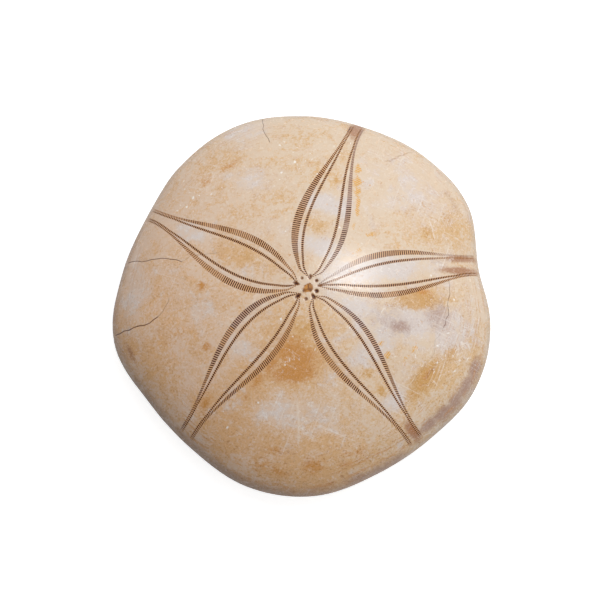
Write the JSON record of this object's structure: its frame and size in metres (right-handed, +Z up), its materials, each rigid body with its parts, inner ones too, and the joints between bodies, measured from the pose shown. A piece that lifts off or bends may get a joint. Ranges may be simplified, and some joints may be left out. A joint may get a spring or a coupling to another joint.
{
  "type": "polished fossil sand dollar",
  "caption": "Domed fossil sand dollar with a notched round outline, a petal star on top and a flat underside to rest on; a loose display piece or paperweight.",
  "frame": {"origin": "middle of the outline's box on the flat underside", "axes": "+Z up through the dome; +X to the front of the animal, where the margin is notched; +Y to its left side as it lies"},
  "size_m": [0.09, 0.092, 0.026],
  "materials": {
    "polished_fossil": "polished cream and tan fossil calcite with orange iron stains, brown pore rows and a soft gloss"
  },
  "bodies": {
    "root": {"shell": "polished_fossil"}
  },
  "joints": []
}
